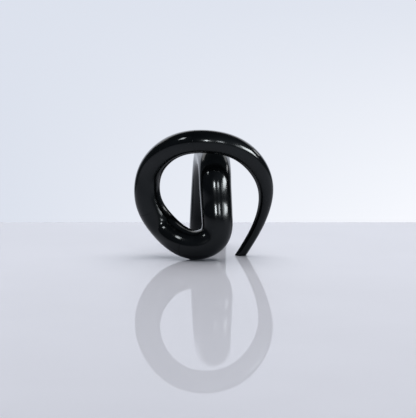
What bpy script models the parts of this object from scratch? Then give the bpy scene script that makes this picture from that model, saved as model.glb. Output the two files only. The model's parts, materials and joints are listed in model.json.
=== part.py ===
"""Twisty snake puzzle: a tapering round body in rigid curved segments that swivel end on end.

The body stands on its thick end, climbs the back, arches forward, hooks round at the table
and runs through an upright ring to a thin tail that rests on the table. At every seam a
shoulder pin, screwed into a brass insert in the segment nearer the base, holds a brass bush
that is bonded into the next segment, with a dished spring washer under the pin's head.
"""
import bmesh
import bpy
import numpy as np
from mathutils import Matrix, Vector

MM = 0.001

# Overall sizes of the body's centre line, and the body's thickness at its two ends, in millimetres.
LINE_WIDTH = 105.0
LINE_DEPTH = 115.0
LINE_HEIGHT = 107.3
BASE_DIAMETER = 35.0
TAIL_DIAMETER = 8.7

# Layout of the centre line from the base to the tail, stretched to the sizes above:
# x, y, z and thickness. +Y points away from the viewer, and the base's middle is the origin.
LAYOUT = (
    (0.0, 0.0, 0.0, 35.0),
    (0.4, 0.0, 20.0, 34.4),
    (1.0, -0.4, 45.0, 33.2),
    (1.9, -8.0, 71.5, 31.8),
    (3.6, -33.5, 89.6, 30.8),
    (5.4, -66.0, 87.8, 29.6),
    (6.4, -84.3, 82.0, 29.0),
    (6.9, -91.8, 74.5, 28.8),
    (7.1, -94.3, 67.5, 28.6),
    (7.6, -95.6, 58.5, 28.4),
    (8.0, -96.2, 51.5, 28.2),
    (8.4, -97.3, 45.0, 28.0),
    (8.7, -98.45, 39.0, 27.8),
    (9.0, -98.7, 34.0, 27.6),
    (5.3, -97.8, 20.2, 27.0),
    (-9.0, -96.4, 13.2, 26.2),
    (-23.0, -89.2, 16.0, 26.3),
    (-38.5, -75.2, 26.8, 26.0),
    (-52.0, -76.3, 47.5, 24.4),
    (-53.0, -79.5, 72.6, 22.5),
    (-41.5, -93.5, 93.0, 21.3),
    (-20.5, -109.0, 105.4, 20.8),
    (0.5, -115.0, 107.3, 20.5),
    (21.2, -112.3, 103.0, 19.6),
    (40.0, -102.8, 89.5, 18.2),
    (52.0, -89.6, 64.0, 14.2),
    (50.5, -80.6, 43.0, 11.1),
    (42.4, -72.6, 21.5, 9.4),
    (30.0, -67.0, 0.0, 8.7),
)
HOOK_ROW = 15
HOOK_LIFT = 0.15

# Hidden hardware of a large joint, in millimetres.
PIN_ROOT_DIAMETER = 5.0
PIN_SHANK_DIAMETER = 6.0
PIN_HEAD_DIAMETER = 9.4
PIN_HEAD_HEIGHT = 2.4
PIN_CHAMFER = 0.5
INSERT_WALL_THICKNESS = 1.4
INSERT_LENGTH = 9.0
BUSH_WALL_THICKNESS = 1.6
BUSH_LENGTH = 6.0
WASHER_THICKNESS = 0.7
WASHER_RISE = 0.6

# The smaller joints take the same hardware at these scales.
LARGE = 1.0
MEDIUM = 0.75
SMALL = 0.5

# Each seam: its share of the way along the centre line, and the scale of its hardware.
SEAMS = (
    (0.087, LARGE),
    (0.175, LARGE),
    (0.263, LARGE),
    (0.337, LARGE),
    (0.446, LARGE),
    (0.536, MEDIUM),
    (0.626, MEDIUM),
    (0.712, MEDIUM),
    (0.799, MEDIUM),
    (0.885, SMALL),
)
SEGMENT_NAMES = (
    "base_segment",
    "rear_arch_segment",
    "front_arch_segment",
    "bar_segment",
    "hook_segment",
    "lower_left_segment",
    "left_segment",
    "upper_left_segment",
    "top_segment",
    "right_segment",
    "tail_segment",
)

SEAM_GAP = 0.3
FIT_GAP = 0.3
RING_SPACING = 4.6
END_RUN_LENGTH = 0.6
TRIM_LENGTH = 8.0
CUT_OVERLAP = 2.0
TABLE_THICKNESS = 60.0
TANGENT_STEP = 0.05
BODY_BEVEL_STEPS = 10
HARDWARE_SIDES = 16

LACQUER = ("black_lacquer", (0.012, 0.012, 0.014), 0.08, 0.0)
STEEL = ("pin_steel", (0.60, 0.61, 0.63), 0.30, 1.0)
SPRING_STEEL = ("spring_steel", (0.36, 0.37, 0.40), 0.38, 1.0)
BRASS = ("turned_brass", (0.72, 0.52, 0.22), 0.32, 1.0)


def clear_scene():
    for item in list(bpy.data.objects):
        bpy.data.objects.remove(item, do_unlink=True)


def make_collection(name):
    collection = bpy.data.collections.new(name)
    bpy.context.scene.collection.children.link(collection)
    return collection


def make_material(name, colour, roughness, metallic):
    material = bpy.data.materials.new(name)
    material.use_nodes = True
    shader = material.node_tree.nodes["Principled BSDF"]
    shader.inputs["Base Color"].default_value = (*colour, 1.0)
    shader.inputs["Roughness"].default_value = roughness
    shader.inputs["Metallic"].default_value = metallic
    return material


def stretched_layout():
    """The layout's rows at the overall sizes, with the hook's underside just clear of the table."""
    rows = np.array(LAYOUT)
    share = (rows[:, 3] - rows[-1, 3]) / (rows[0, 3] - rows[-1, 3])
    rows[:, 3] = TAIL_DIAMETER + share * (BASE_DIAMETER - TAIL_DIAMETER)
    rows[:, 0] *= LINE_WIDTH / np.ptp(rows[:, 0])
    rows[:, 1] *= LINE_DEPTH / np.ptp(rows[:, 1])
    hook = rows[HOOK_ROW, 2]
    seat = rows[HOOK_ROW, 3] / 2.0 + HOOK_LIFT
    above = (LINE_HEIGHT - seat) / (rows[:, 2].max() - hook)
    below = seat / hook
    rows[:, 2] = np.where(rows[:, 2] > hook, seat + (rows[:, 2] - hook) * above, rows[:, 2] * below)
    return rows


class BodyLine:
    """Smooth centre line through the layout, read by distance from the base in millimetres."""

    def __init__(self, rows):
        self.rows = rows
        steps = np.linalg.norm(np.diff(self.rows[:, :3], axis=0), axis=1)
        self.knots = np.concatenate([[0.0], np.cumsum(steps)])
        self.bends = self.solve_bends(steps)
        self.samples = np.linspace(0.0, self.knots[-1], 4000)
        places = self.evaluate(self.samples)[:, :3]
        runs = np.linalg.norm(np.diff(places, axis=0), axis=1)
        self.distances = np.concatenate([[0.0], np.cumsum(runs)])
        self.length = self.distances[-1]

    def solve_bends(self, steps):
        count = len(self.rows)
        matrix = np.zeros((count, count))
        right = np.zeros_like(self.rows)
        matrix[0, 0] = 1.0
        matrix[-1, -1] = 1.0
        slopes = np.diff(self.rows, axis=0) / steps[:, None]
        for i in range(1, count - 1):
            matrix[i, i - 1] = steps[i - 1]
            matrix[i, i] = 2.0 * (steps[i - 1] + steps[i])
            matrix[i, i + 1] = steps[i]
            right[i] = 6.0 * (slopes[i] - slopes[i - 1])
        return np.linalg.solve(matrix, right)

    def evaluate(self, values):
        values = np.atleast_1d(values)
        last = len(self.knots) - 2
        i = np.clip(np.searchsorted(self.knots, values, side="right") - 1, 0, last)
        width = (self.knots[i + 1] - self.knots[i])[:, None]
        left = (self.knots[i + 1] - values)[:, None]
        right = (values - self.knots[i])[:, None]
        curve = (self.bends[i] * left**3 + self.bends[i + 1] * right**3) / (6.0 * width)
        start = (self.rows[i] / width - self.bends[i] * width / 6.0) * left
        end = (self.rows[i + 1] / width - self.bends[i + 1] * width / 6.0) * right
        return curve + start + end

    def row_at(self, distance):
        return self.evaluate(np.interp(distance, self.distances, self.samples))[0]

    def point_at(self, distance):
        return Vector(self.row_at(distance)[:3])

    def radius_at(self, distance):
        return self.row_at(distance)[3] / 2.0

    def tangent_at(self, distance):
        before = self.point_at(max(distance - TANGENT_STEP, 0.0))
        after = self.point_at(min(distance + TANGENT_STEP, self.length))
        return (after - before).normalized()

    def frame_at(self, distance):
        """Seam frame in metres: origin on the centre line, +Z towards the tail."""
        turn = self.tangent_at(distance).to_track_quat("Z", "Y").to_matrix().to_4x4()
        return Matrix.Translation(self.point_at(distance) * MM) @ turn


def tube_points(line, start, end):
    """Centre points and radii of one segment, with a short straight run at each end."""
    first_seam = start > 0.0
    last_seam = end < line.length
    rows = []
    tangent = line.tangent_at(start)
    lead = SEAM_GAP / 2.0 if first_seam else -TRIM_LENGTH
    rows.append((line.point_at(start) + tangent * lead, line.radius_at(start)))
    rows.append((line.point_at(start) + tangent * (lead + END_RUN_LENGTH), line.radius_at(start)))
    count = max(3, round((end - start) / RING_SPACING))
    for distance in np.linspace(start, end, count + 1)[1:-1]:
        rows.append((line.point_at(distance), line.radius_at(distance)))
    tangent = line.tangent_at(end)
    tail = SEAM_GAP / 2.0 if last_seam else -TRIM_LENGTH
    rows.append((line.point_at(end) - tangent * (tail + END_RUN_LENGTH), line.radius_at(end)))
    rows.append((line.point_at(end) - tangent * tail, line.radius_at(end)))
    return rows


def tube_mesh(name, rows, frame):
    """Round tube through the given points, as a closed mesh in the given frame."""
    curve = bpy.data.curves.new(name, "CURVE")
    curve.dimensions = "3D"
    curve.bevel_depth = 1.0
    curve.bevel_resolution = BODY_BEVEL_STEPS
    curve.use_fill_caps = True
    spline = curve.splines.new("POLY")
    spline.points.add(len(rows) - 1)
    for point, (place, radius) in zip(spline.points, rows):
        point.co = (*(place * MM), 1.0)
        point.radius = radius * MM
    source = bpy.data.objects.new(name + "_curve", curve)
    bpy.context.scene.collection.objects.link(source)
    bpy.context.view_layer.update()
    graph = bpy.context.evaluated_depsgraph_get()
    mesh = bpy.data.meshes.new_from_object(source.evaluated_get(graph))
    mesh.transform(frame.inverted() @ source.matrix_world)
    bpy.data.objects.remove(source, do_unlink=True)
    bpy.data.curves.remove(curve)
    edit = bmesh.new()
    edit.from_mesh(mesh)
    bmesh.ops.remove_doubles(edit, verts=edit.verts, dist=1e-7)
    bmesh.ops.recalc_face_normals(edit, faces=edit.faces)
    edit.to_mesh(mesh)
    edit.free()
    mesh.name = name
    return mesh


def add_object(name, mesh, material, collection, parent, local):
    item = bpy.data.objects.new(name, mesh)
    collection.objects.link(item)
    mesh.materials.clear()
    mesh.materials.append(material)
    item.parent = parent
    item.matrix_local = local
    return item


def turned(name, profile, closed, material, collection, parent, local):
    """Turn a profile of (radius, height) millimetres, outer side downwards, about local Z."""
    mesh = bpy.data.meshes.new(name)
    edges = [(i, i + 1) for i in range(len(profile) - 1)]
    if closed:
        edges.append((len(profile) - 1, 0))
    mesh.from_pydata([(radius * MM, 0.0, height * MM) for radius, height in profile], edges, [])
    item = add_object(name, mesh, material, collection, parent, local)
    screw = item.modifiers.new("turn", "SCREW")
    screw.steps = HARDWARE_SIDES
    screw.render_steps = HARDWARE_SIDES
    screw.use_merge_vertices = True
    screw.merge_threshold = 0.00001
    return item


def cutter(name, frame, radius, low, high, collection):
    """Cylinder along local Z of a seam frame, between two heights in millimetres."""
    bpy.ops.mesh.primitive_cylinder_add(vertices=HARDWARE_SIDES, radius=radius * MM, depth=(high - low) * MM)
    item = bpy.context.object
    item.name = name
    item.matrix_world = frame @ Matrix.Translation((0.0, 0.0, (low + high) / 2.0 * MM))
    file_cutter(item, collection)
    return item


def file_cutter(item, collection):
    for owner in list(item.users_collection):
        owner.objects.unlink(item)
    collection.objects.link(item)
    item.hide_render = True
    item.display_type = "WIRE"


def floor_cutter(collection):
    """Slab below the table level, which trims the base and the tail flat."""
    bpy.ops.mesh.primitive_cube_add(size=1.0)
    item = bpy.context.object
    item.name = "table_trim"
    reach = 4.0 * (LINE_WIDTH + LINE_DEPTH)
    item.scale = (reach * MM, reach * MM, TABLE_THICKNESS * MM)
    item.location = (0.0, 0.0, -TABLE_THICKNESS * MM / 2.0)
    file_cutter(item, collection)
    return item


def cut(item, tool):
    modifier = item.modifiers.new(tool.name, "BOOLEAN")
    modifier.operation = "DIFFERENCE"
    modifier.solver = "EXACT"
    modifier.object = tool


class SeamFit:
    """Heights and radii of one joint's hardware, in millimetres from the seam."""

    def __init__(self, scale):
        half = SEAM_GAP / 2.0
        self.root = PIN_ROOT_DIAMETER * scale / 2.0
        self.shank = PIN_SHANK_DIAMETER * scale / 2.0
        self.head = PIN_HEAD_DIAMETER * scale / 2.0
        self.chamfer = PIN_CHAMFER * scale
        self.washer_thickness = WASHER_THICKNESS * scale
        self.insert_bore = self.root + FIT_GAP
        self.insert = self.insert_bore + INSERT_WALL_THICKNESS * scale
        self.insert_top = -half - FIT_GAP
        self.insert_low = self.insert_top - INSERT_LENGTH * scale
        self.hole = max(self.insert, self.shank) + FIT_GAP
        self.hole_low = self.insert_low - FIT_GAP
        self.bush_bore = self.shank + FIT_GAP
        self.bush = max(self.bush_bore + BUSH_WALL_THICKNESS * scale, self.head)
        self.bush_low = half + FIT_GAP
        self.bush_top = self.bush_low + BUSH_LENGTH * scale
        self.washer_low = self.bush_top + FIT_GAP
        self.washer_top = self.washer_low + self.washer_thickness + WASHER_RISE * scale
        self.head_low = self.washer_top + FIT_GAP
        self.head_top = self.head_low + PIN_HEAD_HEIGHT * scale
        self.socket = self.bush + FIT_GAP
        self.socket_top = self.head_top + FIT_GAP


def pin_profile(fit):
    return (
        (0.0, fit.head_top),
        (fit.head - fit.chamfer, fit.head_top),
        (fit.head, fit.head_top - fit.chamfer),
        (fit.head, fit.head_low),
        (fit.shank, fit.head_low),
        (fit.shank, fit.insert_top + FIT_GAP),
        (fit.root, fit.insert_top + FIT_GAP),
        (fit.root, fit.insert_low + fit.chamfer),
        (fit.root - fit.chamfer, fit.insert_low),
        (0.0, fit.insert_low),
    )


def sleeve_profile(inner, outer, low, high):
    return ((inner, high), (outer, high), (outer, low), (inner, low))


def washer_profile(fit):
    return (
        (fit.bush_bore, fit.washer_top),
        (fit.head, fit.washer_low + fit.washer_thickness),
        (fit.head, fit.washer_low),
        (fit.bush_bore, fit.washer_top - fit.washer_thickness),
    )


def add_seam(number, fit, frame, lower, lower_frame, joint, metals, collections):
    """One joint's pin and insert on the lower segment, and bush and washer on the upper one."""
    parts, cutters = collections
    on_lower = lower_frame.inverted() @ frame
    on_joint = Matrix.Identity(4)
    insert = sleeve_profile(fit.insert_bore, fit.insert, fit.insert_low, fit.insert_top)
    bush = sleeve_profile(fit.bush_bore, fit.bush, fit.bush_low, fit.bush_top)
    turned(f"thread_insert_{number:02d}", insert, True, metals["brass"], parts, lower, on_lower)
    turned(f"swivel_pin_{number:02d}", pin_profile(fit), False, metals["steel"], parts, lower, on_lower)
    turned(f"socket_bush_{number:02d}", bush, True, metals["brass"], parts, joint, on_joint)
    turned(f"spring_washer_{number:02d}", washer_profile(fit), True, metals["spring"], parts, joint, on_joint)
    hole = cutter(f"insert_hole_{number:02d}", frame, fit.hole, fit.hole_low, CUT_OVERLAP, cutters)
    socket = cutter(f"bush_socket_{number:02d}", frame, fit.socket, -CUT_OVERLAP, fit.socket_top, cutters)
    return hole, socket


def add_joint_empty(number, parent, local, collection):
    empty = bpy.data.objects.new(f"joint_{number:02d}", None)
    empty.empty_display_type = "SINGLE_ARROW"
    empty.empty_display_size = 0.02
    collection.objects.link(empty)
    empty.parent = parent
    empty.matrix_local = local
    return empty


def report_joint(number, frame):
    place = frame.translation
    axis = frame.to_3x3() @ Vector((0.0, 0.0, 1.0))
    where = ", ".join(f"{value:.5f}" for value in place)
    along = ", ".join(f"{value:.5f}" for value in axis)
    print(f"joint {number:02d} at [{where}] along [{along}]")


def main():
    clear_scene()
    parts = make_collection("twisty_snake_puzzle")
    cutters = make_collection("cutters")
    lacquer = make_material(*LACQUER)
    metals = {
        "steel": make_material(*STEEL),
        "spring": make_material(*SPRING_STEEL),
        "brass": make_material(*BRASS),
    }
    line = BodyLine(stretched_layout())
    ends = [0.0] + [share * line.length for share, scale in SEAMS] + [line.length]
    table = floor_cutter(cutters)
    frame = Matrix.Identity(4)
    joint = None
    segment = None
    socket = None
    for number, name in enumerate(SEGMENT_NAMES):
        if number > 0:
            lower_frame = frame
            frame = line.frame_at(ends[number])
            joint = add_joint_empty(number, segment, lower_frame.inverted() @ frame, parts)
            fit = SeamFit(SEAMS[number - 1][1])
            hole, socket = add_seam(number, fit, frame, segment, lower_frame, joint, metals, (parts, cutters))
            cut(segment, hole)
            report_joint(number, frame)
        mesh = tube_mesh(name, tube_points(line, ends[number], ends[number + 1]), frame)
        segment = add_object(name, mesh, lacquer, parts, joint, Matrix.Identity(4))
        if socket is not None:
            cut(segment, socket)
        if number in (0, len(SEGMENT_NAMES) - 1):
            cut(segment, table)
    print(f"body length {line.length:.1f} mm")


main()
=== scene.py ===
"""Twisty snake puzzle on a pale table: lacquered segments, turned joint hardware, stage and camera."""
import json
import math

import bmesh
import bpy
import numpy as np
from mathutils import Matrix, Vector


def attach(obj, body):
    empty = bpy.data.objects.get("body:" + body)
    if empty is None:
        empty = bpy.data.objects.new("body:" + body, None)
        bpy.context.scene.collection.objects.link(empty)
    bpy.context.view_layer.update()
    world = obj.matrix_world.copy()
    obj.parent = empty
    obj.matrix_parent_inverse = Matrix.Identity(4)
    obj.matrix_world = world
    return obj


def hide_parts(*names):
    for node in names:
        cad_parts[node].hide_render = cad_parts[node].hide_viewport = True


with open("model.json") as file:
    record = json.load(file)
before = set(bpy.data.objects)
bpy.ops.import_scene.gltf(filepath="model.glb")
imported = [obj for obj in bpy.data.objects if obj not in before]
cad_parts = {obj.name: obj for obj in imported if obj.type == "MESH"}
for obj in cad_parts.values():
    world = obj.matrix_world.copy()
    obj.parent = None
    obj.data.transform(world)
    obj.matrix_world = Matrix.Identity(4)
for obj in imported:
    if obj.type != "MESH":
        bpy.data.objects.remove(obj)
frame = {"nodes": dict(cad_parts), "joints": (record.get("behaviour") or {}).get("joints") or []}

bl_info = {
    "name": "Twisty snake puzzle",
    "version": (1, 0, 0),
    "blender": (4, 5, 0),
    "location": "3D View > Sidebar > Snake puzzle",
    "description": "Builds a jointed snake puzzle in black lacquer on a pale table",
    "category": "Object",
}

MM = 0.001
SENSOR_WIDTH = 36.0
LINE_SAMPLES = 12000
TANGENT_STEP = 0.05 * MM
MERGE_DISTANCE = 0.001 * MM
CAP_LEAST_SIDES = 9
PATH_SPANS = 4
REST_EDGE_STEPS = 3
SMOOTH_ANGLE = math.radians(30.0)

# Layout of the body's centre line from the base to the tail, in millimetres: x, y, z and thickness.
LAYOUT = (
    (0.0, 0.0, 0.0, 35.0),
    (0.4, 0.0, 20.0, 34.4),
    (1.0, -0.4, 45.0, 33.2),
    (1.9, -8.0, 71.5, 31.8),
    (3.6, -33.5, 89.6, 30.8),
    (5.4, -66.0, 87.8, 29.6),
    (6.4, -84.3, 82.0, 29.0),
    (6.9, -91.8, 74.5, 28.8),
    (7.1, -94.3, 67.5, 28.6),
    (7.6, -95.6, 58.5, 28.4),
    (8.0, -96.2, 51.5, 28.2),
    (8.4, -97.3, 45.0, 28.0),
    (8.7, -98.45, 39.0, 27.8),
    (9.0, -98.7, 34.0, 27.6),
    (5.3, -97.8, 20.2, 27.0),
    (-9.0, -96.4, 13.25, 26.2),
    (-23.0, -89.2, 16.0, 26.3),
    (-38.5, -75.2, 26.8, 26.0),
    (-52.0, -76.3, 47.5, 24.4),
    (-53.0, -79.5, 72.6, 22.5),
    (-41.5, -93.5, 93.0, 21.3),
    (-20.5, -109.0, 105.4, 20.8),
    (0.5, -115.0, 107.3, 20.5),
    (21.2, -112.3, 103.0, 19.6),
    (40.0, -102.8, 89.5, 18.2),
    (52.0, -89.6, 64.0, 14.2),
    (50.5, -80.6, 43.0, 11.1),
    (42.4, -72.6, 21.5, 9.4),
    (30.0, -67.0, 0.0, 8.7),
)
BODY_NAMES = (
    "base",
    "rear_arch",
    "front_arch",
    "bar",
    "hook",
    "lower_left",
    "left",
    "upper_left",
    "top",
    "right",
    "tail",
)
HARDWARE_FINISHES = {
    "swivel_pin": "steel",
    "thread_insert": "brass",
    "socket_bush": "brass",
    "spring_washer": "spring",
}
METAL_ROUGHNESS = {
    "steel": 0.26,
    "brass": 0.30,
    "spring": 0.36,
}

# Noise in the materials: scale, detail and roughness. Bands: the values of the noise that are used.
HAZE_NOISE = (38.0, 4.0, 0.55)
HAZE_BAND = (0.44, 0.66)
DUST_SCALE = 420.0
DUST_EDGE = (0.045, 0.075)
DUST_NOISE = (55.0, 2.0, 0.5)
DUST_BAND = (0.55, 0.70)
GLOSS_NOISE = (26.0, 5.0, 0.6)
GLOSS_BAND = (0.40, 0.68)
RIPPLE_NOISE = (150.0, 2.0, 0.5)
RIPPLE_DEPTH = 0.2 * MM
STAIN_NOISE = (320.0, 4.0, 0.6)
STAIN_BAND = (0.35, 0.70)
STAIN_SHARE = (0.72, 0.70, 0.66)
TURNING_SCALE = 1400.0
TURNING_WANDER = 1.2
TURNING_DETAIL = 1.5
TURNING_GLOSS = (0.8, 1.25)
TURNING_STRENGTH = 0.25
TURNING_DEPTH = 0.02 * MM
MOTTLE_NOISE = (9.0, 4.0, 0.5)
MOTTLE_BAND = (0.35, 0.65)
MOTTLE_SHARE = 0.985
MOTTLE_GLOSS = 1.08

# Bands of direction in which the surroundings change: along X to the right, Y away or Z up.
FRONT_BAND = (-0.35, 0.15)
HIGH_BAND = (0.45, 0.85)
HIGH_SHARE = 0.3
RAISED_BAND = (-0.06, 0.16)
ROOM_BAND = (-0.35, 0.35)
BEHIND_BAND = (0.70, 0.80)
WALL_TOP_BAND = (0.32, 0.55)
ACROSS_BAND = (-0.10, 0.10)
DOWN_BAND = (-0.115, -0.01)
DOWN_SHARE = 0.15
GLOW_BAND = (0.0, 0.35)


class SnakeBodySettings(bpy.types.PropertyGroup):
    """Sizes of the segments' surface."""

    ring_spacing: bpy.props.FloatProperty(
        name="Ring spacing",
        description="Distance between the rings of faces along a segment",
        default=0.0009,
        unit="LENGTH",
    )
    round_steps: bpy.props.IntProperty(
        name="Round steps",
        description="Steps in each quarter turn around the body",
        default=32,
    )
    end_run: bpy.props.FloatProperty(
        name="End run",
        description="Straight run at each end of a segment, so that its face meets the next squarely",
        default=0.0006,
        unit="LENGTH",
    )
    seam_gap: bpy.props.FloatProperty(
        name="Seam gap",
        description="Hairline left between two segments",
        default=0.00003,
        unit="LENGTH",
    )
    seam_edge: bpy.props.FloatProperty(
        name="Seam edge",
        description="Width of the broken edge at a seam",
        default=0.00002,
        unit="LENGTH",
    )
    rest_edge: bpy.props.FloatProperty(
        name="Rest edge",
        description="Width of the rounded edge where the body stands on the table",
        default=0.0006,
        unit="LENGTH",
    )
    trim: bpy.props.FloatProperty(
        name="Trim",
        description="Length left below the table before the base and the tail are cut flat",
        default=0.006,
        unit="LENGTH",
    )
    bore_gap: bpy.props.FloatProperty(
        name="Bore gap",
        description="Room between the hardware and the bore it sits in",
        default=0.0003,
        unit="LENGTH",
    )


class SnakeFinishSettings(bpy.types.PropertyGroup):
    """Colours and gloss of the lacquer and the metals."""

    lacquer: bpy.props.FloatVectorProperty(
        name="Lacquer",
        description="Colour of the black lacquer",
        default=(0.0007, 0.0009, 0.0011, 1.0),
        size=4,
        subtype="COLOR",
    )
    lacquer_haze: bpy.props.FloatVectorProperty(
        name="Lacquer haze",
        description="Colour of the lacquer where it is handled and slightly dulled",
        default=(0.0018, 0.0023, 0.0028, 1.0),
        size=4,
        subtype="COLOR",
    )
    dust: bpy.props.FloatVectorProperty(
        name="Dust",
        description="Colour of the fine dust specks on the lacquer",
        default=(0.16, 0.16, 0.17, 1.0),
        size=4,
        subtype="COLOR",
    )
    polish: bpy.props.FloatProperty(
        name="Polish",
        description="Roughness of the cleanest lacquer",
        default=0.10,
        subtype="FACTOR",
    )
    smudge: bpy.props.FloatProperty(
        name="Smudge",
        description="Roughness of the lacquer where it is handled",
        default=0.20,
        subtype="FACTOR",
    )
    ripple: bpy.props.FloatProperty(
        name="Ripple",
        description="Strength of the hand polish's faint ripple",
        default=0.12,
        subtype="FACTOR",
    )
    lacquer_ior: bpy.props.FloatProperty(
        name="Lacquer IOR",
        description="Index of refraction of the lacquer",
        default=1.38,
    )
    lacquer_tint: bpy.props.FloatVectorProperty(
        name="Lacquer tint",
        description="Cool tint of what the lacquer reflects",
        default=(0.90, 0.97, 1.0, 1.0),
        size=4,
        subtype="COLOR",
    )
    steel: bpy.props.FloatVectorProperty(
        name="Pin steel",
        description="Colour of the shoulder pins",
        default=(0.60, 0.61, 0.63, 1.0),
        size=4,
        subtype="COLOR",
    )
    spring: bpy.props.FloatVectorProperty(
        name="Spring steel",
        description="Colour of the spring washers",
        default=(0.36, 0.37, 0.40, 1.0),
        size=4,
        subtype="COLOR",
    )
    brass: bpy.props.FloatVectorProperty(
        name="Brass",
        description="Colour of the inserts and bushes",
        default=(0.72, 0.52, 0.22, 1.0),
        size=4,
        subtype="COLOR",
    )


class SnakeStageSettings(bpy.types.PropertyGroup):
    """Table, surroundings, light and camera."""

    table_colour: bpy.props.FloatVectorProperty(
        name="Table",
        description="Colour of the table top",
        default=(0.90, 0.895, 0.96, 1.0),
        size=4,
        subtype="COLOR",
    )
    table_gloss: bpy.props.FloatProperty(
        name="Table gloss",
        description="Roughness of the table top below its clear coat",
        default=0.55,
        subtype="FACTOR",
    )
    table_ior: bpy.props.FloatProperty(
        name="Table IOR",
        description="Index of refraction of the table top below its clear coat",
        default=1.25,
    )
    coat_ior: bpy.props.FloatProperty(
        name="Coat IOR",
        description="Index of refraction of the table's clear coat, which mirrors at low angles",
        default=1.05,
    )
    table_width: bpy.props.FloatProperty(
        name="Table width",
        description="Width of the table top",
        default=2.4,
        unit="LENGTH",
    )
    table_depth: bpy.props.FloatProperty(
        name="Table depth",
        description="Depth of the table top from its back edge to its front edge",
        default=1.8,
        unit="LENGTH",
    )
    table_thickness: bpy.props.FloatProperty(
        name="Table thickness",
        description="Thickness of the table top",
        default=0.03,
        unit="LENGTH",
    )
    table_gap: bpy.props.FloatProperty(
        name="Table gap",
        description="Hairline between the table top and what stands on it",
        default=0.0001,
        unit="LENGTH",
    )
    table_back: bpy.props.FloatProperty(
        name="Table back edge",
        description="Distance from the base to the table's back edge",
        default=0.19,
        unit="LENGTH",
    )
    # Painted shade and light on the white wall: darker at the left and top, lighter at the lower right.
    wall_shaded_left: bpy.props.FloatVectorProperty(
        name="Wall, left",
        description="Colour of the pale wall behind the table, at the left",
        default=(0.72, 0.76, 0.85, 1.0),
        size=4,
        subtype="COLOR",
    )
    wall_lit_right: bpy.props.FloatVectorProperty(
        name="Wall, right",
        description="Colour of the pale wall behind the table, at the right",
        default=(0.93, 0.95, 1.0, 1.0),
        size=4,
        subtype="COLOR",
    )
    wall_glow: bpy.props.FloatProperty(
        name="Wall glow",
        description="How much brighter the wall is above the picture than beside the object",
        default=2.3,
    )
    room_dark: bpy.props.FloatVectorProperty(
        name="Room, sides",
        description="Colour of the room to the sides and above",
        default=(0.062, 0.072, 0.085, 1.0),
        size=4,
        subtype="COLOR",
    )
    room_left: bpy.props.FloatVectorProperty(
        name="Room, front left",
        description="Colour of the room at the front left",
        default=(0.11, 0.125, 0.15, 1.0),
        size=4,
        subtype="COLOR",
    )
    room_right: bpy.props.FloatVectorProperty(
        name="Room, front right",
        description="Colour of the room at the front right",
        default=(0.27, 0.30, 0.34, 1.0),
        size=4,
        subtype="COLOR",
    )
    camera_place: bpy.props.FloatVectorProperty(
        name="Camera place",
        description="Where the camera stands",
        default=(0.0006, -1.8693, 0.2429),
        size=3,
        subtype="TRANSLATION",
    )
    camera_tilt: bpy.props.FloatProperty(
        name="Camera tilt",
        description="Angle of the camera from straight down",
        default=math.radians(83.65),
        subtype="ANGLE",
    )
    camera_lens: bpy.props.FloatProperty(
        name="Lens",
        description="Focal length of the camera in millimetres",
        default=172.25,
    )


# Each lamp: bearing right of the camera and height angle in degrees, distance, width and height in
# metres, and glow. The table lamp lights the table only, and the others all but the table.
LAMPS = {
    "front_lamp": (-7.0, 14.5, 2.5, 0.34, 0.32, 56.0),
    "second_front_lamp": (20.0, 14.5, 2.5, 0.42, 0.32, 20.0),
    "right_window": (73.0, 14.0, 2.5, 1.20, 0.56, 28.0),
    "right_low_lamp": (52.0, 11.0, 2.5, 0.58, 0.40, 6.0),
    "far_right_lamp": (118.0, 21.0, 2.5, 0.70, 0.35, 4.0),
    "left_lamp": (-62.0, 36.0, 2.5, 0.30, 0.50, 20.0),
    "back_strip": (180.0, 40.0, 0.9, 1.80, 0.30, 1.3),
}
TABLE_LAMP = ("table_lamp", 120.0, 82.0, 2.4, 2.60, 2.60, 2.0)
LAMP_AIM = Vector((0.0, -0.06, 0.06))


def body_settings():
    return bpy.context.scene.snake_body


def finish_settings():
    return bpy.context.scene.snake_finish


def stage_settings():
    return bpy.context.scene.snake_stage


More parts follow.
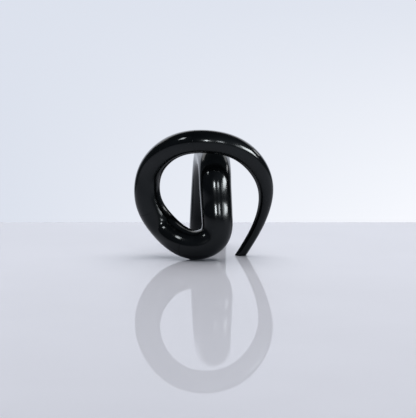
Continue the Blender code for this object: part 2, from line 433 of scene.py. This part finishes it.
class BodyLine:
    """Smooth centre line through the layout, in metres, read by distance from the base."""

    def __init__(self):
        self.rows = np.array(LAYOUT) * MM
        steps = np.linalg.norm(np.diff(self.rows[:, :3], axis=0), axis=1)
        self.knots = np.concatenate([[0.0], np.cumsum(steps)])
        self.bends = self.solve_bends(steps)
        self.samples = np.linspace(0.0, self.knots[-1], LINE_SAMPLES)
        self.places = self.evaluate(self.samples)[:, :3]
        runs = np.linalg.norm(np.diff(self.places, axis=0), axis=1)
        self.distances = np.concatenate([[0.0], np.cumsum(runs)])
        self.length = self.distances[-1]

    def solve_bends(self, steps):
        """Second derivatives of the natural cubic spline at its knots."""
        count = len(self.rows)
        matrix = np.zeros((count, count))
        right = np.zeros_like(self.rows)
        matrix[0, 0] = 1.0
        matrix[-1, -1] = 1.0
        slopes = np.diff(self.rows, axis=0) / steps[:, None]
        for i in range(1, count - 1):
            matrix[i, i - 1] = steps[i - 1]
            matrix[i, i] = 2.0 * (steps[i - 1] + steps[i])
            matrix[i, i + 1] = steps[i]
            right[i] = 6.0 * (slopes[i] - slopes[i - 1])
        return np.linalg.solve(matrix, right)

    def evaluate(self, values):
        """Rows of x, y, z and thickness at knot values."""
        values = np.atleast_1d(values)
        last = len(self.knots) - 2
        i = np.clip(np.searchsorted(self.knots, values, side="right") - 1, 0, last)
        width = (self.knots[i + 1] - self.knots[i])[:, None]
        left = (self.knots[i + 1] - values)[:, None]
        right = (values - self.knots[i])[:, None]
        curve = (self.bends[i] * left**3 + self.bends[i + 1] * right**3) / (6.0 * width)
        start = (self.rows[i] / width - self.bends[i] * width / 6.0) * left
        end = (self.rows[i + 1] / width - self.bends[i + 1] * width / 6.0) * right
        return curve + start + end

    def row_at(self, distance):
        return self.evaluate(np.interp(distance, self.distances, self.samples))[0]

    def point_at(self, distance):
        return Vector(self.row_at(distance)[:3])

    def radius_at(self, distance):
        return float(self.row_at(distance)[3]) / 2.0

    def tangent_at(self, distance):
        before = self.point_at(max(distance - TANGENT_STEP, 0.0))
        after = self.point_at(min(distance + TANGENT_STEP, self.length))
        return (after - before).normalized()

    def distance_to(self, place):
        """Distance along the line of its point nearest a place."""
        gaps = np.linalg.norm(self.places - np.array(place), axis=1)
        return float(self.distances[int(gaps.argmin())])


def seam_frame(joint):
    """Place and turn of a seam: its origin on the joint, +Z along the axis towards the tail."""
    turn = Vector(joint["axis"]).to_track_quat("Z", "Y").to_matrix().to_4x4()
    return Matrix.Translation(Vector(joint["pos_m"])) @ turn


def node_reach(node, seam):
    """Lowest height, highest height and largest radius of a CAD node in a seam's frame."""
    back = seam.inverted()
    points = [back @ vertex.co for vertex in frame["nodes"][node].data.vertices]
    heights = [point.z for point in points]
    radius = max(math.hypot(point.x, point.y) for point in points)
    return min(heights), max(heights), radius


def deselect_all():
    if bpy.context.mode != "OBJECT":
        bpy.ops.object.mode_set(mode="OBJECT")
    bpy.ops.object.select_all(action="DESELECT")


def activate(piece):
    deselect_all()
    piece.select_set(True)
    bpy.context.view_layer.objects.active = piece


def seam_run(body):
    """Straight run from a seam to the first ring of the curved part."""
    return body.seam_gap / 2.0 + body.end_run


def rest_run(line, distance, body):
    """Run from the table to the first ring that clears the rounded edge there."""
    upright = abs(line.tangent_at(distance).z)
    lean = line.radius_at(distance) * math.sqrt(1.0 - upright**2)
    return (2.0 * body.rest_edge + lean) / upright


def tube_rows(line, start, end):
    """Centre points and radii of one segment, with a straight run at each end, and the cuts that
    give each span of a new path as many points."""
    body = body_settings()
    at_base = start <= 0.0
    at_tail = end >= line.length
    lead = -body.trim if at_base else body.seam_gap / 2.0
    rows = [(line.point_at(start) + line.tangent_at(start) * lead, line.radius_at(start))]
    inner_start = start + (rest_run(line, start, body) if at_base else seam_run(body))
    inner_end = end - (rest_run(line, end, body) if at_tail else seam_run(body))
    cuts = math.ceil((inner_end - inner_start) / body.ring_spacing / PATH_SPANS)
    inner_count = PATH_SPANS * (cuts + 1) - 1
    for distance in np.linspace(inner_start, inner_end, inner_count):
        rows.append((line.point_at(distance), line.radius_at(distance)))
    lead = body.trim if at_tail else -body.seam_gap / 2.0
    rows.append((line.point_at(end) + line.tangent_at(end) * lead, line.radius_at(end)))
    return rows, cuts


def add_profile():
    """Unit circle that is drawn along the centre line."""
    deselect_all()
    bpy.ops.curve.primitive_bezier_circle_add(radius=1.0)
    profile = bpy.context.object
    profile.data.resolution_u = body_settings().round_steps
    return profile


def add_tube(name, rows, cuts):
    """A round tube through the rows, capped at both ends."""
    profile = add_profile()
    deselect_all()
    bpy.ops.curve.primitive_nurbs_path_add(enter_editmode=True)
    bpy.ops.curve.select_all(action="SELECT")
    bpy.ops.curve.spline_type_set(type="POLY")
    bpy.ops.curve.subdivide(number_cuts=cuts)
    bpy.ops.object.mode_set(mode="OBJECT")
    piece = bpy.context.object
    points = piece.data.splines[0].points
    if len(points) != len(rows):
        raise RuntimeError(f"{name}: {len(points)} points for {len(rows)} rows")
    for point, (place, radius) in zip(points, rows):
        point.co = (*place, 1.0)
        point.radius = radius
    piece.data.bevel_mode = "OBJECT"
    piece.data.bevel_object = profile
    piece.data.use_fill_caps = True
    activate(piece)
    bpy.ops.object.convert(target="MESH")
    piece = bpy.context.object
    bpy.data.objects.remove(profile)
    piece.name = name
    piece.data.name = name
    bpy.ops.object.mode_set(mode="EDIT")
    bpy.ops.mesh.select_all(action="SELECT")
    bpy.ops.mesh.remove_doubles(threshold=MERGE_DISTANCE)
    bpy.ops.mesh.normals_make_consistent(inside=False)
    bpy.ops.mesh.select_mode(type="FACE")
    bpy.ops.mesh.select_all(action="DESELECT")
    bpy.ops.mesh.select_face_by_sides(number=3)
    bpy.ops.mesh.dissolve_faces()
    return piece


def select_cap(piece, place):
    """Select the many-sided end face nearest a place, in edit mode."""
    bpy.ops.mesh.select_mode(type="FACE")
    bpy.ops.mesh.select_all(action="DESELECT")
    mesh = bmesh.from_edit_mesh(piece.data)
    caps = [face for face in mesh.faces if len(face.verts) >= CAP_LEAST_SIDES]
    cap = min(caps, key=lambda face: (face.calc_center_median() - place).length)
    cap.select_set(True)
    bmesh.update_edit_mesh(piece.data)
    return cap.normal.copy()


def break_edge(piece, place, width, steps):
    """Bevel the rim of an end face."""
    select_cap(piece, place)
    bpy.ops.mesh.region_to_loop()
    bpy.ops.mesh.bevel(offset=width, segments=steps, affect="EDGES")


def sink_bore(piece, place, rim, bore, depth):
    """Inset an end face to the bore's radius and push it in to the bore's depth."""
    normal = select_cap(piece, place)
    bpy.ops.mesh.inset(thickness=rim - bore)
    bpy.ops.mesh.extrude_region_move(TRANSFORM_OT_translate={"value": -normal * depth})


def cut_at_table():
    """Cut the tube in edit mode flat where it stands on the table."""
    bpy.ops.mesh.select_all(action="SELECT")
    bpy.ops.mesh.bisect(
        plane_co=(0.0, 0.0, 0.0),
        plane_no=(0.0, 0.0, 1.0),
        use_fill=True,
        clear_inner=True,
    )


def joint_after(index):
    """The seam between a segment and the next, counted from the base."""
    return frame["joints"][index]


def segment_ends(line):
    """Distance of each seam from the base, with the two ends of the body."""
    seams = [line.distance_to(joint["pos_m"]) for joint in frame["joints"]]
    return [0.0] + seams + [line.length]


def build_segment(line, index, start, end, lacquer):
    """One lacquered segment with its bores, in place of its CAD solid."""
    body = body_settings()
    name = BODY_NAMES[index]
    rows, cuts = tube_rows(line, start, end)
    piece = add_tube("lacquered_" + name, rows, cuts)
    if index == 0 or index == len(BODY_NAMES) - 1:
        cut_at_table()
        foot = line.point_at(start if index == 0 else end)
        break_edge(piece, foot, body.rest_edge, REST_EDGE_STEPS)
    if index > 0:
        seam = seam_frame(joint_after(index - 1))
        number = f"{index:02d}"
        _, high, radius = node_reach("swivel_pin_" + number, seam)
        bush = node_reach("socket_bush_" + number, seam)[2]
        place = rows[0][0]
        rim = rows[0][1] - body.seam_edge
        break_edge(piece, place, body.seam_edge, 1)
        bore = max(radius, bush) + body.bore_gap
        sink_bore(piece, place, rim, bore, high + body.bore_gap - body.seam_gap / 2.0)
    if index < len(BODY_NAMES) - 1:
        seam = seam_frame(joint_after(index))
        number = f"{index + 1:02d}"
        low, _, radius = node_reach("thread_insert_" + number, seam)
        low = min(low, node_reach("swivel_pin_" + number, seam)[0])
        place = rows[-1][0]
        rim = rows[-1][1] - body.seam_edge
        break_edge(piece, place, body.seam_edge, 1)
        bore = radius + body.bore_gap
        sink_bore(piece, place, rim, bore, body.bore_gap - body.seam_gap / 2.0 - low)
    bpy.ops.mesh.select_all(action="SELECT")
    bpy.ops.mesh.normals_make_consistent(inside=False)
    bpy.ops.object.mode_set(mode="OBJECT")
    bpy.ops.object.shade_smooth_by_angle(angle=SMOOTH_ANGLE)
    piece.data.materials.clear()
    piece.data.materials.append(lacquer)
    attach(piece, name)
    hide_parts(name + "_segment")
    return piece


def new_material(name):
    material = bpy.data.materials.new(name)
    material.use_nodes = True
    return material, material.node_tree, material.node_tree.nodes["Principled BSDF"]


def add_node(tree, kind, **sockets):
    """A node with its named sockets set."""
    node = tree.nodes.new(kind)
    for socket, value in sockets.items():
        node.inputs[socket.replace("_", " ")].default_value = value
    return node


def add_range(tree, value, low, high, start, end):
    """Map a value from one range to another, held at its ends."""
    node = add_node(tree, "ShaderNodeMapRange", From_Min=low, From_Max=high, To_Min=start, To_Max=end)
    tree.links.new(value, node.inputs["Value"])
    return node.outputs["Result"]


def add_mix(tree, factor, first, second):
    """Mix two colours, each given as a socket or a colour."""
    node = tree.nodes.new("ShaderNodeMix")
    node.data_type = "RGBA"
    tree.links.new(factor, node.inputs[0])
    for socket, value in ((node.inputs[6], first), (node.inputs[7], second)):
        if isinstance(value, bpy.types.NodeSocket):
            tree.links.new(value, socket)
        else:
            socket.default_value = value
    return node.outputs[2]


def add_noise(tree, place, scale, detail, roughness):
    node = add_node(tree, "ShaderNodeTexNoise", Scale=scale, Detail=detail, Roughness=roughness)
    tree.links.new(place, node.inputs["Vector"])
    return node.outputs["Fac"]


def add_bump(tree, height, strength, distance):
    node = add_node(tree, "ShaderNodeBump", Strength=strength, Distance=distance)
    tree.links.new(height, node.inputs["Height"])
    return node.outputs["Normal"]


def multiply(tree, first, second):
    node = tree.nodes.new("ShaderNodeMath")
    node.operation = "MULTIPLY"
    tree.links.new(first, node.inputs[0])
    tree.links.new(second, node.inputs[1])
    return node.outputs[0]


def lacquer_material():
    """Polished black lacquer with handled haze, fine ripple and a few dust specks."""
    finish = finish_settings()
    material, tree, shader = new_material("black_lacquer_polished")
    place = tree.nodes.new("ShaderNodeTexCoord").outputs["Object"]
    haze = add_range(tree, add_noise(tree, place, *HAZE_NOISE), *HAZE_BAND, 0.0, 1.0)
    colour = add_mix(tree, haze, finish.lacquer, finish.lacquer_haze)
    cells = add_node(tree, "ShaderNodeTexVoronoi", Scale=DUST_SCALE)
    tree.links.new(place, cells.inputs["Vector"])
    near = add_range(tree, cells.outputs["Distance"], *DUST_EDGE, 1.0, 0.0)
    patches = add_range(tree, add_noise(tree, place, *DUST_NOISE), *DUST_BAND, 0.0, 1.0)
    colour = add_mix(tree, multiply(tree, near, patches), colour, finish.dust)
    tree.links.new(colour, shader.inputs["Base Color"])
    worn = add_noise(tree, place, *GLOSS_NOISE)
    gloss = add_range(tree, worn, *GLOSS_BAND, finish.polish, finish.smudge)
    tree.links.new(gloss, shader.inputs["Roughness"])
    ripple = add_bump(tree, add_noise(tree, place, *RIPPLE_NOISE), finish.ripple, RIPPLE_DEPTH)
    tree.links.new(ripple, shader.inputs["Normal"])
    shader.inputs["IOR"].default_value = finish.lacquer_ior
    shader.inputs["Specular Tint"].default_value = finish.lacquer_tint
    return material


def turned_metal(name, colour, roughness, seam):
    """Metal with fine turning rings about a joint's axis and a little stain."""
    material, tree, shader = new_material(name)
    place = tree.nodes.new("ShaderNodeTexCoord").outputs["Object"]
    mapping = tree.nodes.new("ShaderNodeMapping")
    mapping.vector_type = "TEXTURE"
    mapping.inputs["Location"].default_value = seam.translation
    mapping.inputs["Rotation"].default_value = seam.to_euler()
    tree.links.new(place, mapping.inputs["Vector"])
    turned = mapping.outputs["Vector"]
    rings = add_node(tree, "ShaderNodeTexWave", Scale=TURNING_SCALE)
    rings.inputs["Distortion"].default_value = TURNING_WANDER
    rings.inputs["Detail Scale"].default_value = TURNING_DETAIL
    rings.wave_type = "BANDS"
    rings.bands_direction = "Z"
    tree.links.new(turned, rings.inputs["Vector"])
    stain = add_range(tree, add_noise(tree, turned, *STAIN_NOISE), *STAIN_BAND, 0.0, 1.0)
    dark = tuple(channel * share for channel, share in zip(colour, STAIN_SHARE)) + (1.0,)
    tree.links.new(add_mix(tree, stain, colour, dark), shader.inputs["Base Color"])
    low, high = (roughness * share for share in TURNING_GLOSS)
    gloss = add_range(tree, rings.outputs["Fac"], 0.0, 1.0, low, high)
    tree.links.new(gloss, shader.inputs["Roughness"])
    cut = add_bump(tree, rings.outputs["Fac"], TURNING_STRENGTH, TURNING_DEPTH)
    tree.links.new(cut, shader.inputs["Normal"])
    shader.inputs["Metallic"].default_value = 1.0
    return material


class SNAKE_OT_segments(bpy.types.Operator):
    """Build the eleven lacquered segments of the body"""

    bl_idname = "snake.segments"
    bl_label = "Build segments"

    def execute(self, context):
        line = BodyLine()
        lacquer = lacquer_material()
        ends = segment_ends(line)
        for index in range(len(BODY_NAMES)):
            build_segment(line, index, ends[index], ends[index + 1], lacquer)
        deselect_all()
        return {"FINISHED"}


class SNAKE_OT_hardware(bpy.types.Operator):
    """Give the pins, inserts, bushes and washers their turned metal finishes"""

    bl_idname = "snake.hardware"
    bl_label = "Finish hardware"

    def execute(self, context):
        finish = finish_settings()
        for index, joint in enumerate(frame["joints"]):
            seam = seam_frame(joint)
            for kind, metal in HARDWARE_FINISHES.items():
                node = f"{kind}_{index + 1:02d}"
                colour = tuple(getattr(finish, metal))
                material = turned_metal(f"{metal}_{node}", colour, METAL_ROUGHNESS[metal], seam)
                piece = frame["nodes"][node]
                piece.data.materials.clear()
                piece.data.materials.append(material)
        return {"FINISHED"}


def table_material():
    """Pale glossy table top with a trace of mottling."""
    stage = stage_settings()
    material, tree, shader = new_material("pale_table_top")
    place = tree.nodes.new("ShaderNodeTexCoord").outputs["Object"]
    mottle = add_range(tree, add_noise(tree, place, *MOTTLE_NOISE), *MOTTLE_BAND, 0.0, 1.0)
    deeper = tuple(channel * MOTTLE_SHARE for channel in stage.table_colour[:3]) + (1.0,)
    tree.links.new(add_mix(tree, mottle, tuple(stage.table_colour), deeper), shader.inputs["Base Color"])
    gloss = add_range(tree, mottle, 0.0, 1.0, stage.table_gloss, stage.table_gloss * MOTTLE_GLOSS)
    tree.links.new(gloss, shader.inputs["Roughness"])
    shader.inputs["IOR"].default_value = stage.table_ior
    shader.inputs["Coat Weight"].default_value = 1.0
    shader.inputs["Coat IOR"].default_value = stage.coat_ior
    shader.inputs["Coat Roughness"].default_value = 0.0
    return material


def add_table():
    """The table top: a wide slab that ends a little behind the base."""
    stage = stage_settings()
    deselect_all()
    bpy.ops.mesh.primitive_plane_add(size=1.0, enter_editmode=True)
    bpy.ops.transform.resize(value=(stage.table_width, stage.table_depth, 1.0))
    middle = stage.table_back - stage.table_depth / 2.0
    bpy.ops.transform.translate(value=(0.0, middle, -stage.table_gap))
    down = (0.0, 0.0, -stage.table_thickness)
    bpy.ops.mesh.extrude_region_move(TRANSFORM_OT_translate={"value": down})
    bpy.ops.mesh.select_all(action="SELECT")
    bpy.ops.mesh.normals_make_consistent(inside=False)
    bpy.ops.object.mode_set(mode="OBJECT")
    table = bpy.context.object
    table.name = "pale_table"
    table.data.materials.append(table_material())
    return table


def set_world():
    """Pale wall behind the table, with painted shade at its left and top and painted light at its lower
    right, and a dim room that is lighter to the front right.
    """
    stage = stage_settings()
    world = bpy.data.worlds.new("pale_surroundings")
    bpy.context.scene.world = world
    world.use_nodes = True
    tree = world.node_tree
    parts = tree.nodes.new("ShaderNodeSeparateXYZ")
    tree.links.new(tree.nodes.new("ShaderNodeTexCoord").outputs["Generated"], parts.inputs["Vector"])
    right = parts.outputs["X"]
    away = parts.outputs["Y"]
    up = parts.outputs["Z"]
    front = add_range(tree, away, *FRONT_BAND, 1.0, 0.0)
    high = add_range(tree, up, *HIGH_BAND, 1.0, HIGH_SHARE)
    raised = add_range(tree, up, *RAISED_BAND, 0.0, 1.0)
    side = add_range(tree, right, *ROOM_BAND, 0.0, 1.0)
    lit = add_mix(tree, side, stage.room_left, stage.room_right)
    room = add_mix(tree, multiply(tree, front, multiply(tree, high, raised)), stage.room_dark, lit)
    behind = add_range(tree, away, *BEHIND_BAND, 0.0, 1.0)
    wall_low = add_range(tree, up, *WALL_TOP_BAND, 1.0, 0.0)
    across = add_range(tree, right, *ACROSS_BAND, 0.0, 1.0)
    down = add_range(tree, up, *DOWN_BAND, 1.0, DOWN_SHARE)
    # Painted light and shade on the white wall: lighter towards the lower right, darker elsewhere.
    wall = add_mix(tree, multiply(tree, across, down), stage.wall_shaded_left, stage.wall_lit_right)
    shown = add_mix(tree, multiply(tree, behind, wall_low), room, wall)
    tree.links.new(shown, tree.nodes["Background"].inputs["Color"])
    bright = multiply(tree, behind, add_range(tree, up, *GLOW_BAND, 0.0, 1.0))
    strength = add_range(tree, bright, 0.0, 1.0, 1.0, stage.wall_glow)
    tree.links.new(strength, tree.nodes["Background"].inputs["Strength"])


def lamp_place(bearing, height, distance):
    """Where a lamp stands and which way it faces."""
    bearing = math.radians(bearing)
    height = math.radians(height)
    away = Vector((
        math.sin(bearing) * math.cos(height),
        -math.cos(bearing) * math.cos(height),
        math.sin(height),
    ))
    return LAMP_AIM + away * distance, -away


def add_lamp(name, bearing, height, distance, width, depth, glow):
    """A soft square-edged lamp that the camera doesn't see."""
    place, facing = lamp_place(bearing, height, distance)
    bpy.ops.object.light_add(type="AREA", location=place)
    lamp = bpy.context.object
    lamp.name = name
    lamp.rotation_euler = facing.to_track_quat("-Z", "Y").to_euler()
    lamp.data.shape = "RECTANGLE"
    lamp.data.size = width
    lamp.data.size_y = depth
    lamp.data.energy = glow * math.pi * width * depth
    lamp.visible_camera = False
    return lamp


def light_share(name, table, state):
    """A collection that gives a lamp's light to the table alone or to all but the table."""
    share = bpy.data.collections.new(name)
    share.objects.link(table)
    share.collection_objects[0].light_linking.link_state = state
    return share


def add_camera():
    """The camera at the photograph's viewing angle."""
    stage = stage_settings()
    bpy.ops.object.camera_add(
        location=stage.camera_place,
        rotation=(stage.camera_tilt, 0.0, 0.0),
    )
    camera = bpy.context.object
    camera.name = "photo_camera"
    camera.data.lens = stage.camera_lens
    camera.data.sensor_width = SENSOR_WIDTH
    camera.data.dof.use_dof = False
    bpy.context.scene.camera = camera


class SNAKE_OT_stage(bpy.types.Operator):
    """Set the table, the surroundings, the lamps and the camera"""

    bl_idname = "snake.stage"
    bl_label = "Set stage"

    def execute(self, context):
        context.scene.view_settings.view_transform = "Standard"
        table = add_table()
        set_world()
        pieces_only = light_share("lit_pieces", table, "EXCLUDE")
        for name, values in LAMPS.items():
            add_lamp(name, *values).light_linking.receiver_collection = pieces_only
        table_only = light_share("lit_table", table, "INCLUDE")
        add_lamp(*TABLE_LAMP).light_linking.receiver_collection = table_only
        add_camera()
        return {"FINISHED"}


class SNAKE_PT_panel(bpy.types.Panel):
    """Steps that build the puzzle, and the settings they use"""

    bl_idname = "SNAKE_PT_panel"
    bl_label = "Snake puzzle"
    bl_space_type = "VIEW_3D"
    bl_region_type = "UI"
    bl_category = "Snake puzzle"

    def draw(self, context):
        layout = self.layout
        for operator in OPERATORS:
            layout.operator(operator.bl_idname)
        for settings in (body_settings(), finish_settings(), stage_settings()):
            box = layout.box()
            for field in settings.__annotations__:
                box.prop(settings, field)


OPERATORS = (SNAKE_OT_segments, SNAKE_OT_hardware, SNAKE_OT_stage)
SETTINGS = {
    "snake_body": SnakeBodySettings,
    "snake_finish": SnakeFinishSettings,
    "snake_stage": SnakeStageSettings,
}


def register():
    for settings in SETTINGS.values():
        bpy.utils.register_class(settings)
    for operator in OPERATORS:
        bpy.utils.register_class(operator)
    bpy.utils.register_class(SNAKE_PT_panel)
    for name, settings in SETTINGS.items():
        setattr(bpy.types.Scene, name, bpy.props.PointerProperty(type=settings))


def unregister():
    for name in SETTINGS:
        delattr(bpy.types.Scene, name)
    bpy.utils.unregister_class(SNAKE_PT_panel)
    for operator in reversed(OPERATORS):
        bpy.utils.unregister_class(operator)
    for settings in SETTINGS.values():
        bpy.utils.unregister_class(settings)


def main():
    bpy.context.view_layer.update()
    register()
    bpy.ops.snake.segments()
    bpy.ops.snake.hardware()
    bpy.ops.snake.stage()


if __name__ == "__main__":
    main()
